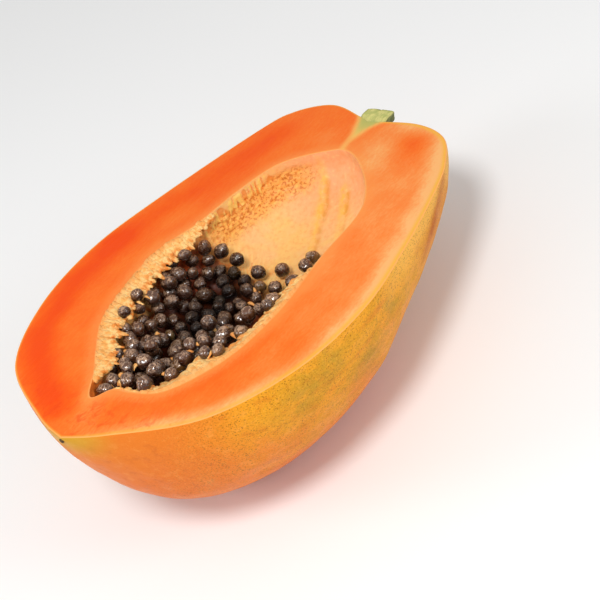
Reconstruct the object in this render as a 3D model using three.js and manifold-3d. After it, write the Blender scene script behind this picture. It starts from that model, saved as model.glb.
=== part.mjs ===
// One half of a ripe papaya, cut lengthwise, with its seeds still in it and half of its stalk.
// Millimetres. +X runs along the fruit from the blossom tip to the stalk, +Y to the left of that
// and +Z up. The half lies on the small flat spot on the round of its skin, cut face up.
import * as THREE from 'three';
import Module from 'manifold-3d';
import { mergeVertices } from 'three/addons/utils/BufferGeometryUtils.js';

const wasm = await Module();
wasm.setup();

// ---------------------------------------------------------------- driving dimensions
// All of these are in the fruit's own frame: X along the core from the blossom tip, Z up out of
// the cut face, which is Z = 0.

// The skin's edge on the cut face, from the blossom tip round each shoulder to the stalk's notch.
const leftEdge = [
  [0, 0], [6.8, 19], [28, 53.7], [64, 72], [104, 76.6], [144, 69.5],
  [203, 53], [221, 43.6], [229.7, 26.6], [223.7, 7.3], [220, 0],
];
const rightEdge = [
  [0, 0], [7.3, -18.5], [27.7, -52.6], [62.3, -72.2], [102, -78], [141.5, -72.6],
  [180.4, -63.4], [199.3, -56.3], [215.4, -45], [222.4, -26.2], [220, 0],
];
// The same for the keel, straight down from the core: distance along the core and depth.
const keelEdge = [
  [0, 0], [7.2, 21.3], [27.6, 57.6], [61, 76.6], [101, 79.5], [139, 68],
  [171, 46], [191, 32], [206, 20.5], [217, 10], [220, 0],
];
const coreLength = 220;
const restPitch = 8.5;         // degrees that the stalk end hangs down when the half lies balanced
const flatSpotDepth = 0.7;     // how far the weight has pressed the skin flat

// The edge of the seed cavity on the cut face, from the blossom end round the left side.
const cavityEdge = [
  [22.9, 3.7], [37.1, 14.2], [47.5, 22.4], [63.7, 33.4], [85.8, 38.8], [105.9, 41.2],
  [119, 38.6], [131, 34.8], [145, 32.8], [156.1, 31.2], [180.6, 23.6], [194.6, 5],
  [196.8, -2.6], [188.4, -16.7], [161.5, -36.5], [124.5, -39.2], [88.7, -42.5],
  [58, -38.4], [35.2, -24.7], [31, -12], [30, -2.4],
];
const cavityMiddle = new THREE.Vector2(105, 0);
const cavityDepth = 34;
const shelfDepth = 4;          // pale seed-bearing tissue slopes in from the edge round the seeds
const shelfWidth = 9;          // on the right side, and a third of that on the left
const shelfTipWidth = 11;      // how much wider it is near the tip
const shelfStart = [30, 43];   // it widens between these two distances along the core
const shelfTip = [66, 46];     // the wide part near the tip
const shelfEnd = [125, 90];    // and it narrows away between these
const shelfPart = 0.15;        // its share of the way from the edge down to the bottom
const aboveCut = 10;           // how far cutting bodies stand clear of the cut face

// The stalk: a short stub in the notch, cut through with the fruit.
const stalkRadius = 7.8;
const stalkLength = 18;
const stalkSunk = 8;           // how much of it is inside the notch
const stalkAside = -1.8;       // how far it stands to the right of the core
const gapBetween = 0.45;       // between two pieces that touch

// Seeds: egg-shaped, each in its own wet coat.
const seedLong = 7.2;
const seedWide = 6.2;
const seedSpacing = 7.6;       // least distance between two seeds' middles
const seedFromWall = 4.4;      // least distance from a seed's middle to the cavity's wall
const heapSeeds = 46;
const heapTop = -4.2;          // the seeds' middles lie below this height
const heapTopDrop = 3;         // and this much lower still along the left wall
const topLayer = 2.8;          // how far down the topmost seeds' middles lie
const heapSteep = -12;         // to the right of this Y the heap's inner side is too steep to see
const heapThick = 19;          // how deep the seeds lie on the wall at the tip and on the right
const heapThin = 9;            // and on the left
const heapEdge = 5.2;          // and where the heap peters out
const heapRamp = 35;           // how long the heap's slope towards the stalk is
const looseSeeds = [           // seeds lying apart, in the tip's slit and on the bare wall
  [31.2, 5, -4.2], [37.6, 7, -5.4], [39.4, -10.4, -4.4], [131, 25.5, -13.2], [134.2, 21.2, -19.6],
  [135.2, 12, -25.6], [140.2, 2.2, -26.6], [129.5, -1.2, -27.8], [134.8, -8, -26.8],
  [143.6, -9.6, -24.3], [150.6, -8, -25.4],
];
const innerSize = 9.6;         // a seed under the top ones, with the pulp that clings to it
const innerSpacing = 6.6;      // they are pressed into each other
const innerFromWall = 8.4;       // least distance from such a seed's middle to the cavity's wall
const seedRoom = 2;            // how much wider than a top seed the dent is that it sits in

// ---------------------------------------------------------------- helpers

function colour(hex, roughness) {
  return new THREE.MeshStandardMaterial({ color: hex, roughness, metalness: 0 });
}

function solid(geometry) {
  const bare = geometry.clone();
  bare.deleteAttribute('normal');
  bare.deleteAttribute('uv');
  const merged = mergeVertices(bare, 1e-4);
  return new wasm.Manifold(new wasm.Mesh({
    numProp: 3,
    vertProperties: new Float32Array(merged.attributes.position.array),
    triVerts: new Uint32Array(merged.index.array),
  }));
}

function node(name, body, material) {
  const made = body.getMesh();
  const geometry = new THREE.BufferGeometry();
  geometry.setAttribute('position', new THREE.BufferAttribute(made.vertProperties, 3));
  geometry.setIndex(new THREE.BufferAttribute(made.triVerts, 1));
  geometry.computeVertexNormals();
  const mesh = new THREE.Mesh(geometry, material);
  mesh.name = name;
  return mesh;
}

// Moves every vertex of a ball of radius 1 to shape(x, y, z).
function reshapedBall(around, fromPoleToPole, shape) {
  const ball = new THREE.SphereGeometry(1, around, fromPoleToPole);
  const place = ball.attributes.position;
  for (let i = 0; i < place.count; i += 1) {
    const moved = shape(place.getX(i), place.getY(i), place.getZ(i));
    place.setXYZ(i, moved.x, moved.y, moved.z);
  }
  return ball;
}

// Rises smoothly from 0 at one value to 1 at another, which may be the smaller one.
function smooth([from, to], value) {
  const part = THREE.MathUtils.clamp((value - from) / (to - from), 0, 1);
  return part * part * (3 - 2 * part);
}

const lerp = THREE.MathUtils.lerp;

// ---------------------------------------------------------------- the fruit's outside

function edgeCurve(points) {
  return new THREE.SplineCurve(points.map(([x, out]) => new THREE.Vector2(x, Math.abs(out))));
}

const leftCurve = edgeCurve(leftEdge);
const rightCurve = edgeCurve(rightEdge);
const keelCurve = edgeCurve(keelEdge);

// The whole fruit before it is cut: the three edges run into each other round the core.
function wholeFruit() {
  return reshapedBall(56, 34, (x, y, z) => {
    const along = Math.acos(THREE.MathUtils.clamp(-y, -1, 1)) / Math.PI;
    const out = Math.max(Math.hypot(x, z), 1e-9);
    const side = -x / out;
    const down = z / out;
    const flank = rightCurve.getPointAt(along).lerp(leftCurve.getPointAt(along), (1 + side) / 2);
    const edge = flank.lerp(keelCurve.getPointAt(along), down * down);
    return new THREE.Vector3(edge.x, side * edge.y, down * edge.y);
  });
}

// ---------------------------------------------------------------- the seed cavity

const cavityCurve = new THREE.CatmullRomCurve3(
  cavityEdge.map(([x, y]) => new THREE.Vector3(x, y, 0)), true, 'centripetal',
);
const cavityRadii = cavityCurve.getSpacedPoints(720).slice(0, -1).map((point) => {
  const dx = point.x - cavityMiddle.x;
  const dy = point.y - cavityMiddle.y;
  return { angle: Math.atan2(dy, dx), radius: Math.hypot(dx, dy) };
}).sort((a, b) => a.angle - b.angle);

// The cavity's edge on the cut face, as a distance from its middle in the direction of angle.
function cavityRadius(angle) {
  const next = cavityRadii.findIndex((entry) => entry.angle >= angle);
  const after = cavityRadii[next < 0 ? 0 : next];
  const before = cavityRadii[(next < 1 ? cavityRadii.length : next) - 1];
  let span = after.angle - before.angle;
  let part = angle - before.angle;
  if (span <= 0) span += 2 * Math.PI;
  if (part < 0) part += 2 * Math.PI;
  return lerp(before.radius, after.radius, Math.min(part / span, 1));
}

// How wide the shelf is in this direction from the cavity's middle.
function shelfAt(angle) {
  const x = cavityMiddle.x + cavityRadius(angle) * Math.cos(angle);
  const share = lerp(1 / 3, 1, smooth([0.2, -0.4], Math.sin(angle)));
  const width = shelfWidth * smooth(shelfEnd, x) + shelfTipWidth * smooth(shelfTip, x);
  return width * share * smooth(shelfStart, x);
}

// A closed body that cuts the cavity: first down the shelf, then round the wall to the bottom.
function cavityBody() {
  return reshapedBall(64, 28, (x, y, z) => {
    const angle = Math.atan2(-z, x);
    const rim = cavityRadius(angle);
    let reach = rim * Math.hypot(x, z);
    let height = aboveCut * y;
    if (y < 0) {
      const down = Math.asin(Math.min(-y, 1)) / (Math.PI / 2);
      const onShelf = Math.min(down / shelfPart, 1);
      const onWall = Math.max((down - shelfPart) / (1 - shelfPart), 0) * (Math.PI / 2);
      reach = (rim - shelfAt(angle) * onShelf) * Math.cos(onWall);
      height = -shelfDepth * onShelf - (cavityDepth - shelfDepth) * Math.sin(onWall);
    }
    return new THREE.Vector3(
      cavityMiddle.x + reach * Math.cos(angle), cavityMiddle.y + reach * Math.sin(angle), height,
    );
  });
}

// About how far a point in the cavity is from its wall below the shelf.
function wallGap(point) {
  const level = (p) => {
    const dx = p.x - cavityMiddle.x;
    const dy = p.y - cavityMiddle.y;
    const angle = Math.atan2(dy, dx);
    const side = Math.hypot(dx, dy) / (cavityRadius(angle) - shelfAt(angle));
    const down = Math.min(p.z + shelfDepth, 0) / (cavityDepth - shelfDepth);
    return 1 - Math.hypot(side, down);
  };
  const step = 0.5;
  const here = level(point);
  const slope = new THREE.Vector3(
    level(point.clone().setX(point.x + step)) - here,
    level(point.clone().setY(point.y + step)) - here,
    level(point.clone().setZ(point.z - step)) - here,
  ).divideScalar(step).length();
  return here / slope;
}

// ---------------------------------------------------------------- the seeds

let drawn = 20611;
function between(low, high) {
  drawn = (Math.imul(drawn, 1664525) + 1013904223) >>> 0;
  return low + (high - low) * (drawn / 4294967296);
}

// How far the heap reaches towards the stalk: furthest low on the left wall.
function heapFront(point) {
  const round = Math.atan2(-point.z, point.y);
  return 117 + 10 * Math.cos(round) + 14 * Math.sin(2 * round);
}

// How deep the seeds lie on the wall here: they line it and leave the middle empty.
function heapDepth(point) {
  const front = heapFront(point);
  const crowded = Math.max(smooth([12, -18], point.y), smooth([70, 45], point.x));
  const depth = lerp(heapThin, heapThick, crowded);
  return lerp(heapEdge, depth, smooth([front, front - heapRamp], point.x));
}

// True where a seed's middle can lie in the heap's outermost layer.
function inTopLayer(point) {
  const top = heapTop - heapTopDrop * smooth([5, 30], point.y);
  const gap = wallGap(point);
  const depth = heapDepth(point);
  if (point.z > top || point.x > heapFront(point)) return false;
  if (gap < seedFromWall || gap > depth) return false;
  const facesHollow = gap > depth - topLayer && point.y > heapSteep;
  return facesHollow || point.z > top - topLayer;
}

function seedPlaces() {
  const places = looseSeeds.map((place) => new THREE.Vector3(...place));
  const wanted = places.length + heapSeeds;
  for (let tries = 0; tries < 40000 && places.length < wanted; tries += 1) {
    const point = new THREE.Vector3(between(28, 140), between(-36, 38), between(-34, heapTop));
    const clear = places.every((other) => other.distanceTo(point) > seedSpacing);
    if (clear && inTopLayer(point)) places.push(point);
  }
  return places;
}

function seed(name, place) {
  const ball = new THREE.SphereGeometry(0.5, 9, 6);
  ball.scale(seedWide, seedLong, seedWide);
  const made = node(name, solid(ball), colour(0x2b2019, 0.25));
  made.position.copy(place);
  made.rotation.set(between(-1.2, 1.2), between(0, Math.PI), between(-1.2, 1.2));
  return made;
}

// The dent that a top seed and the gap round it leave in the seeds below.
function seedDent(mesh) {
  const ball = new THREE.SphereGeometry(0.5, 6, 4);
  ball.scale(seedWide + seedRoom, seedLong + seedRoom, seedWide + seedRoom);
  mesh.updateMatrix();
  ball.applyMatrix4(mesh.matrix);
  return solid(ball);
}

// The seeds under the top ones, pressed together into one body that the top ones are sunk in.
function innerSeeds(topSeeds) {
  const places = [];
  for (let tries = 0; tries < 20000; tries += 1) {
    const point = new THREE.Vector3(
      between(38, 130), between(-38, 38), between(-34, heapTop - topLayer),
    );
    const gap = wallGap(point);
    const inside = gap > innerFromWall && gap < heapDepth(point) - topLayer / 2;
    const clear = places.every((other) => other.distanceTo(point) > innerSpacing);
    if (inside && clear && point.x < heapFront(point) - innerSize / 2) places.push(point);
  }
  const pressed = places.map((point) => {
    const ball = new THREE.SphereGeometry(innerSize / 2, 6, 4);
    ball.rotateX(between(0, Math.PI));
    ball.rotateZ(between(0, Math.PI));
    ball.translate(point.x, point.y, point.z);
    return solid(ball);
  }).reduce((whole, ball) => whole.add(ball));
  const dented = topSeeds.reduce((whole, mesh) => whole.subtract(seedDent(mesh)), pressed);
  // seeds that the dents cut off from the rest are left out, so that one body stays
  return dented.decompose().reduce((big, piece) => (piece.volume() > big.volume() ? piece : big));
}

// ---------------------------------------------------------------- the stalk

// The stalk stands in the notch, swells where it leaves the fruit and ends in a worn round rim.
function stalkBody(extra) {
  const radius = stalkRadius + extra;
  const outline = [
    [0, -extra], [radius * 0.72, -extra], [radius * 0.86, stalkSunk * 0.6],
    [radius * 1.08, stalkSunk], [radius, stalkSunk + 2.4], [radius, stalkLength - 2.5],
    [radius * 0.9, stalkLength - 0.8], [radius * 0.7, stalkLength], [0, stalkLength],
  ].map(([r, h]) => new THREE.Vector2(r, h));
  const stub = new THREE.LatheGeometry(outline, 28);
  stub.rotateZ(-Math.PI / 2);
  stub.translate(coreLength - stalkSunk, stalkAside, 0);
  return solid(stub);
}

// ---------------------------------------------------------------- assembly

// The knife takes away everything above the cut face.
const knife = new THREE.BoxGeometry(3 * coreLength, 2 * coreLength, coreLength);
knife.translate(coreLength / 2, 0, coreLength / 2);
const upperHalf = solid(knife);

// What the table presses flat: a block under the fruit as it lies, turned back into its frame.
const lying = new THREE.Matrix4().makeRotationY(THREE.MathUtils.degToRad(restPitch));
const fruit = wholeFruit();
const asItLies = fruit.clone().applyMatrix4(lying);
asItLies.computeBoundingBox();
const table = new THREE.BoxGeometry(3 * coreLength, 2 * coreLength, coreLength);
table.translate(coreLength / 2, 0, asItLies.boundingBox.min.z + flatSpotDepth - coreLength / 2);
table.applyMatrix4(lying.clone().invert());

const half = solid(fruit).subtract(upperHalf).subtract(solid(table))
  .subtract(solid(cavityBody())).subtract(stalkBody(gapBetween));
const topSeeds = seedPlaces().map((place, i) => seed(`seed_${String(i + 1).padStart(2, '0')}`, place));

const papaya = new THREE.Group();
papaya.applyMatrix4(lying);
papaya.add(node('papaya_half', half, colour(0xff7a2e, 0.4)));
papaya.add(node('stem_stub', stalkBody(0).subtract(upperHalf), colour(0xa3ad6a, 0.6)));
papaya.add(...topSeeds);
papaya.add(node('inner_seeds', innerSeeds(topSeeds), colour(0x241a15, 0.3)));

// The frame's origin is on the table, under the middle of the whole.
const group = new THREE.Group();
group.add(papaya);
const box = new THREE.Box3().setFromObject(group, true);
const middle = box.getCenter(new THREE.Vector3());
group.position.set(-middle.x, -middle.y, -box.min.z);

export default group;
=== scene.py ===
import math
import random

import bmesh
import bpy
import numpy as np
from mathutils import Matrix, Vector, noise


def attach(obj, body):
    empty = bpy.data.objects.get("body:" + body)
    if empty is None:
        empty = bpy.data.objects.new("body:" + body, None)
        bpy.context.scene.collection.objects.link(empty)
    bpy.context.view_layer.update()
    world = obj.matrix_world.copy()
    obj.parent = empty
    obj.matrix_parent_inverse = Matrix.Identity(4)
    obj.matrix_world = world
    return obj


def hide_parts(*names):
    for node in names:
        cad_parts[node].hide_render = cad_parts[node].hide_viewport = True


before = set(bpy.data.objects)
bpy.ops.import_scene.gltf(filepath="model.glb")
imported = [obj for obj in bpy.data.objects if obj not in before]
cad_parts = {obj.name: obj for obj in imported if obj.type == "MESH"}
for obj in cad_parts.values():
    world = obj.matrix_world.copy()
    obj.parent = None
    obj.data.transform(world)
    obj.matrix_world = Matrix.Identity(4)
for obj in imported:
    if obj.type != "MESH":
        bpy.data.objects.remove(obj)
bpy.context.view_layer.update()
bpy.ops.object.select_all(action="DESELECT")


# ---------------------------------------------------------------- the half of the fruit
# A ripe papaya cut lengthwise: skin, flesh and the cavity's lining are one body that grew as one.
# It is a single closed ball that is drawn into the round of the skin, over the knife's edge, across
# the cut face, down the pale shelf that held the seeds and round the wall of the cavity.

# The fruit's own frame, in millimetres: X along the core from the blossom tip, Y to the left and
# Z up out of the cut face. The half lies with its stalk end hanging down.
tip_place = (-113.737, 0.622, 92.912)
lean = math.radians(8.5)

left_edge = [
    (0, 0), (6.8, 19), (28, 53.7), (64, 72), (104, 76.6), (144, 69.5),
    (203, 53), (221, 43.6), (229.7, 26.6), (223.7, 7.3), (220, 0),
]
right_edge = [
    (0, 0), (7.3, 18.5), (27.7, 52.6), (62.3, 72.2), (102, 78), (141.5, 72.6),
    (180.4, 63.4), (199.3, 56.3), (215.4, 45), (222.4, 26.2), (220, 0),
]
keel_edge = [
    (0, 0), (7.2, 21.3), (27.6, 57.6), (61, 76.6), (101, 79.5), (139, 68),
    (171, 46), (191, 32), (206, 20.5), (217, 10), (220, 0),
]
cavity_edge = [
    (22.9, 3.7), (37.1, 14.2), (47.5, 22.4), (63.7, 33.4), (85.8, 38.8), (105.9, 41.2),
    (119, 38.6), (131, 34.8), (145, 32.8), (156.1, 31.2), (180.6, 23.6), (194.6, 5),
    (196.8, -2.6), (188.4, -16.7), (161.5, -36.5), (124.5, -39.2), (88.7, -42.5),
    (58, -38.4), (35.2, -24.7), (31, -12), (30, -2.4),
]
cavity_middle = (105.0, 0.0)
cavity_depth = 34.0
shelf_depth = 4.0


def to_row(points):
    """Points of the fruit's own frame, in mm, to where they lie, in metres."""
    x, y, z = points[..., 0], points[..., 1], points[..., 2]
    lying = np.stack([
        x * math.cos(lean) + z * math.sin(lean), y, -x * math.sin(lean) + z * math.cos(lean),
    ], axis=-1)
    return (lying + np.array(tip_place)) * 0.001


def from_row(points):
    """The way back, from metres where they lie to mm in the fruit's own frame."""
    lying = points * 1000.0 - np.array(tip_place)
    x, y, z = lying[..., 0], lying[..., 1], lying[..., 2]
    return np.stack([
        x * math.cos(lean) - z * math.sin(lean), y, x * math.sin(lean) + z * math.cos(lean),
    ], axis=-1)


def smooth(start, end, value):
    """Rises smoothly from 0 at start to 1 at end, which may be the smaller one."""
    part = np.clip((value - start) / (end - start), 0, 1)
    return part * part * (3 - 2 * part)


def between(value, start, full, wane, end):
    """Rises smoothly from 0 at start to 1 at full, and falls back to 0 from wane to end."""
    return smooth(start, full, value) * smooth(end, wane, value)


def run_along(line):
    """How far along a line each of its points is."""
    return np.concatenate([[0], np.cumsum(np.linalg.norm(np.diff(line, axis=0), axis=1))])


def along_edge(points, share):
    """The point at that share of the length of a smooth line through the points."""
    line = np.array(points, float)
    last = len(line) - 1
    t = np.linspace(0, last, 1200)
    at = np.minimum(t.astype(int), last - 1)
    w = (t - at)[:, None]
    before, start = line[np.maximum(at - 1, 0)], line[at]
    end, after = line[at + 1], line[np.minimum(at + 2, last)]
    v0, v1 = (end - before) / 2, (after - start) / 2
    curve = ((2 * start - 2 * end + v0 + v1) * w**3
             + (-3 * start + 3 * end - 2 * v0 - v1) * w**2 + v0 * w + start)
    run = run_along(curve)
    return np.stack([np.interp(share, run / run[-1], curve[:, i]) for i in (0, 1)], -1)


def closed_line(points):
    """A smooth closed line through the points, as angle and distance from the cavity's middle."""
    line = np.array(points, float)
    steps = []
    for i in range(len(line)):
        p0, p1, p2, p3 = (line[(i + k) % len(line)] for k in (-1, 0, 1, 2))
        d0, d1, d2 = (math.sqrt(np.linalg.norm(b - a)) for a, b in ((p0, p1), (p1, p2), (p2, p3)))
        v1 = ((p1 - p0) / d0 - (p2 - p0) / (d0 + d1) + (p2 - p1) / d1) * d1
        v2 = ((p2 - p1) / d1 - (p3 - p1) / (d1 + d2) + (p3 - p2) / d2) * d1
        for w in np.linspace(0, 1, 40, endpoint=False):
            steps.append((2 * w**3 - 3 * w**2 + 1) * p1 + (w**3 - 2 * w**2 + w) * v1
                         + (3 * w**2 - 2 * w**3) * p2 + (w**3 - w**2) * v2)
    steps = np.array(steps) - np.array(cavity_middle)
    angle = np.arctan2(steps[:, 1], steps[:, 0])
    order = np.argsort(angle)
    return angle[order], np.hypot(steps[:, 0], steps[:, 1])[order]


edge_angles, edge_radii = closed_line(cavity_edge)


def cavity_radius(angle):
    """How far the cavity's edge is from its middle in this direction."""
    return np.interp(angle, edge_angles, edge_radii, period=2 * math.pi)


def shelf_at(angle):
    """How wide the shelf is in this direction from the cavity's middle: widest on the right."""
    x = cavity_middle[0] + cavity_radius(angle) * np.cos(angle)
    share = 1 / 3 + 2 / 3 * smooth(0.2, -0.4, np.sin(angle))
    width = 9 * smooth(125, 90, x) + 11 * smooth(66, 46, x)
    return width * share * smooth(30, 43, x)


def skin_point(dx, dy, dz):
    """Where the skin is in this direction: three edges that run into each other round the core."""
    share = np.arccos(np.clip(-dx, -1, 1)) / math.pi
    out = np.maximum(np.hypot(dy, dz), 1e-9)
    side, down = dy / out, dz / out
    left = along_edge(left_edge, share)
    right = along_edge(right_edge, share)
    keel = along_edge(keel_edge, share)
    flank = right + (left - right) * ((1 + side) / 2)[..., None]
    edge = flank + (keel - flank) * (down**2)[..., None]
    return np.stack([edge[..., 0], side * edge[..., 1], down * edge[..., 1]], -1)


def speckle(points, size, layers=3, seed=0.0):
    """Smooth noise from about -1 to 1, with bumps of about that size in the points' unit."""
    flat = points.reshape(-1, 3) / size + seed
    values = [noise.fractal(Vector(p), 1.0, 2.0, layers) for p in flat]
    return np.array(values).reshape(points.shape[:-1])


around = 372
wall_rings, shelf_rings, lip_rings, cut_rings, rim_rings, skin_rings = 78, 22, 4, 52, 4, 88
rings = wall_rings + shelf_rings + lip_rings + cut_rings + rim_rings + skin_rings
turn = np.arange(around) / around * 2 * math.pi
rim = skin_point(np.cos(turn), np.sin(turn), np.zeros(around))
to_rim = rim[:, :2] - np.array(cavity_middle)
bearing = np.arctan2(to_rim[:, 1], to_rim[:, 0])
lip = cavity_radius(bearing)
shelf = shelf_at(bearing)
ray = np.stack([np.cos(bearing), np.sin(bearing)], -1)
rim_reach = np.hypot(to_rim[:, 0], to_rim[:, 1])

# The grid's rings, from the cavity's floor up, over the cut and round to the keel. Each ring also
# keeps how far in from the skin and how far from the cavity's edge it is, in mm.
ring_points, ring_inward, ring_from_lip = [], [], []


def lay_ring(reach, height, inward_mm=0.0, lip_mm=0.0):
    """Adds a ring at these distances out from the cavity's middle."""
    flat = np.array(cavity_middle) + ray * reach[:, None]
    ring_points.append(np.column_stack([flat, np.full(around, height)]))
    ring_inward.append(np.full(around, inward_mm))
    ring_from_lip.append(np.full(around, lip_mm))


lip_round, rim_round = 0.35, 0.5
for i in range(wall_rings):
    on_wall = math.pi / 2 * (1 - i / wall_rings)
    reach = (lip - shelf) * math.cos(on_wall)
    depth = shelf_depth + (cavity_depth - shelf_depth) * math.sin(on_wall)
    lay_ring(reach, -depth, lip_mm=np.hypot(lip - reach, depth))
for i in range(shelf_rings):
    part = 1 - i / shelf_rings
    lay_ring(lip - shelf * part, -shelf_depth * part,
             lip_mm=np.hypot(shelf * part, shelf_depth * part))
for i in range(lip_rings):
    lay_ring(lip + lip_round * i / lip_rings, -0.25 * (1 - i / lip_rings) ** 2)
for i in range(cut_rings):
    part = i / cut_rings
    reach = (lip + lip_round) * (1 - part) + (rim_reach - rim_round) * part
    lay_ring(reach, 0.0, rim_reach - reach, reach - lip)
for i in range(rim_rings):
    turned = math.pi / 2 * i / rim_rings
    reach = rim_reach - rim_round + rim_round * math.sin(turned)
    lay_ring(reach, -rim_round * (1 - math.cos(turned)), rim_reach - reach)
first_skin = len(ring_points)
for i in range(skin_rings + 1):
    down = math.pi / 2 * (i / skin_rings)
    point = skin_point(np.cos(turn) * math.cos(down), np.sin(turn) * math.cos(down),
                       np.full(around, -math.sin(down)))
    point[:, 2] -= rim_round * (1 - smooth(0, 6, -point[:, 2]))
    ring_points.append(point)
    ring_inward.append(np.zeros(around))
    ring_from_lip.append(np.zeros(around))
grid, inward, from_lip = (np.array(part) for part in (ring_points, ring_inward, ring_from_lip))


def grid_normals(points):
    """Which way the surface faces at each point of the grid, out of the flesh."""
    round_way = np.roll(points, -1, axis=1) - np.roll(points, 1, axis=1)
    up_way = np.gradient(points, axis=0)
    facing = np.cross(round_way, up_way)
    return facing / np.maximum(np.linalg.norm(facing, axis=-1, keepdims=True), 1e-9)


normals = grid_normals(grid)
if normals[first_skin + skin_rings // 2, 0, 0] < 0:
    normals = -normals


x, y, z = grid[..., 0], grid[..., 1], grid[..., 2]
flat_grid = grid[..., :2]


def gap_to(points, start, end):
    """How far points are from the straight line between two others."""
    along = end - start
    part = np.clip(((points - start) * along).sum(-1) / (along**2).sum(-1), 0, 1)
    return np.linalg.norm(points - start - part[..., None] * along, axis=-1)


def ribbon(line, width):
    """A soft band along a line on the cut face: 1 on the line, and that half width."""
    line = np.array(line, float)
    nearest = np.min([gap_to(flat_grid, *ends) for ends in zip(line, line[1:])], axis=0)
    return np.exp(-((nearest / width) ** 2))


def round_spot(spot_x, spot_y, spot_z, size):
    """1 at this place of the fruit, fading to 0 over about that distance."""
    return np.exp(-((x - spot_x) ** 2 + (y - spot_y) ** 2 + (z - spot_z) ** 2) / size**2)


# The skin swells a little unevenly. The lining is finely lumpy: it has low ribs where the five
# rows of seeds grew, torn pits along the left edge and a frayed fringe round the seeds.
ring = np.arange(rings + 1)[:, None] * np.ones((1, around))
on_skin = smooth(first_skin, first_skin + 8, ring)
in_cavity = smooth(0, 2.5, from_lip) * (ring < wall_rings + shelf_rings)
swelling = speckle(grid, 34.0, 2, 3.1) * 0.7 + speckle(grid, 9.0, 2, 7.7) * 0.12
lobes = 0.5 * np.cos(5 * np.arctan2(y, -z) + 0.6) * between(x, 5, 40, 170, 215)
lift = on_skin * (swelling + lobes)

around_core = np.arctan2(-z, y)                   # 0 at the left edge, pi at the right one
seeded = smooth(142, 118, x + 0.35 * z - 6 * np.cos(around_core))
rib, rib_shade = np.zeros_like(x), np.zeros_like(x)
for rib_line, rib_wide, rib_high in (
    ([(190, 8.5), (182, 5.8), (175.7, 4.4)], 2.6, 1.0),
    ([(171, 3.4), (162, 0.4), (150, -3)], 2.4, 0.8),
    ([(188, -3.5), (178, -7.8)], 3.2, 1.0),
    ([(172, -10), (150, -17), (132, -22)], 3.4, 0.5),
):
    rib += rib_high * ribbon(rib_line, rib_wide) * (z < -1)
    beside = [(line_x - 1.2, line_y - 2.6) for line_x, line_y in rib_line]
    rib_shade += rib_high * ribbon(beside, 1.2) * (z < -1)
lumps = speckle(grid * np.array([0.6, 1, 1]), 3.2, 3, 11.3)
lip_run = np.broadcast_to(run_along(lip[:, None] * ray), (rings + 1, around))
fringe_place = np.stack([lip_run, from_lip * 0.22, np.zeros_like(from_lip)], -1)
fringe = speckle(fringe_place, 1.5, 2, 21.0)
far_side = smooth(1.1, 0.6, around_core)
pit_row = between(from_lip, 2.5, 6.5, 14, 22) * between(x, 128, 142, 184, 194) * far_side
ridges = speckle(fringe_place + 0.6 * speckle(grid, 6.0, 1, 4.0)[..., None], 1.7, 3, 44.0)
ridges *= between(from_lip, 0.4, 1.8, 5, 10) * between(x, 128, 136, 168, 182) * far_side
# Where the seeds lie the wall is stained by their juice and gets painted shade, darkest in the heap's
# hollow middle.
past_heap = x + 0.3 * z - 8 * np.cos(around_core)
sunk_left = z + 6 * smooth(8, 30, y) * smooth(110, 90, x)
shaded = smooth(122, 108, past_heap) * smooth(-7.5, -13, sunk_left) * smooth(36, 50, x)
juice = smooth(126, 112, past_heap) * smooth(-4.8, -8.5, sunk_left)
to_floor = np.clip((x - 100) / 27, 0, 1)
wall_hollow_shade = round_spot(100 + 27 * to_floor, 22 - 4 * to_floor, -28, 15) * smooth(124, 112, past_heap)
pit_noise = speckle(grid * np.array([0.7, 1, 1]), 1.4, 2, 31.0)
frayed = seeded * smooth(16, 8, from_lip)
lift = lift + in_cavity * (
    0.7 * rib - 0.3 * rib_shade + 0.15 * lumps + 0.3 * frayed * fringe + 0.6 * seeded * lumps
    + pit_row * (0.9 * pit_noise - 0.2) + 1.5 * np.maximum(ridges, -0.2)
)
grid = grid + normals * lift[..., None]
grid[..., 2] = np.where(ring >= first_skin, np.minimum(grid[..., 2], -rim_round * 0.9), grid[..., 2])
placed = to_row(grid)
placed[..., 2] = np.maximum(placed[..., 2], 0.0)
placed[-1] = placed[-1].mean(axis=0)
placed[0] = placed[0].mean(axis=0)

bpy.ops.mesh.primitive_uv_sphere_add(segments=around, ring_count=rings, radius=1.0)
half = bpy.context.object
half.name = "papaya_fruit"
ball = np.zeros(len(half.data.vertices) * 3)
half.data.vertices.foreach_get("co", ball)
ball = ball.reshape(-1, 3)
ring_of = np.rint((0.5 - np.arcsin(np.clip(ball[:, 2], -1, 1)) / math.pi) * rings).astype(int)
slot_of = np.rint(np.arctan2(ball[:, 1], ball[:, 0]) / (2 * math.pi) * around).astype(int) % around
half.data.vertices.foreach_set("co", placed[ring_of, slot_of].reshape(-1))


def give(mesh, **numbers):
    """Gives a mesh these numbers, or threes of numbers, at its vertices."""
    for name, values in numbers.items():
        values = np.asarray(values, dtype=np.float32)
        kind, field = ("FLOAT", "value") if values.ndim == 1 else ("FLOAT_VECTOR", "vector")
        mesh.attributes.new(name, kind, "POINT").data.foreach_set(field, values.reshape(-1))


def patches(spots):
    """Soft round patches, each (x, y, half width along, half width across, strength)."""
    return sum(
        strength * np.exp(-((grid[..., 0] - px) / wx) ** 2 - ((grid[..., 1] - py) / wy) ** 2)
        for px, py, wx, wy, strength in spots)


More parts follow.
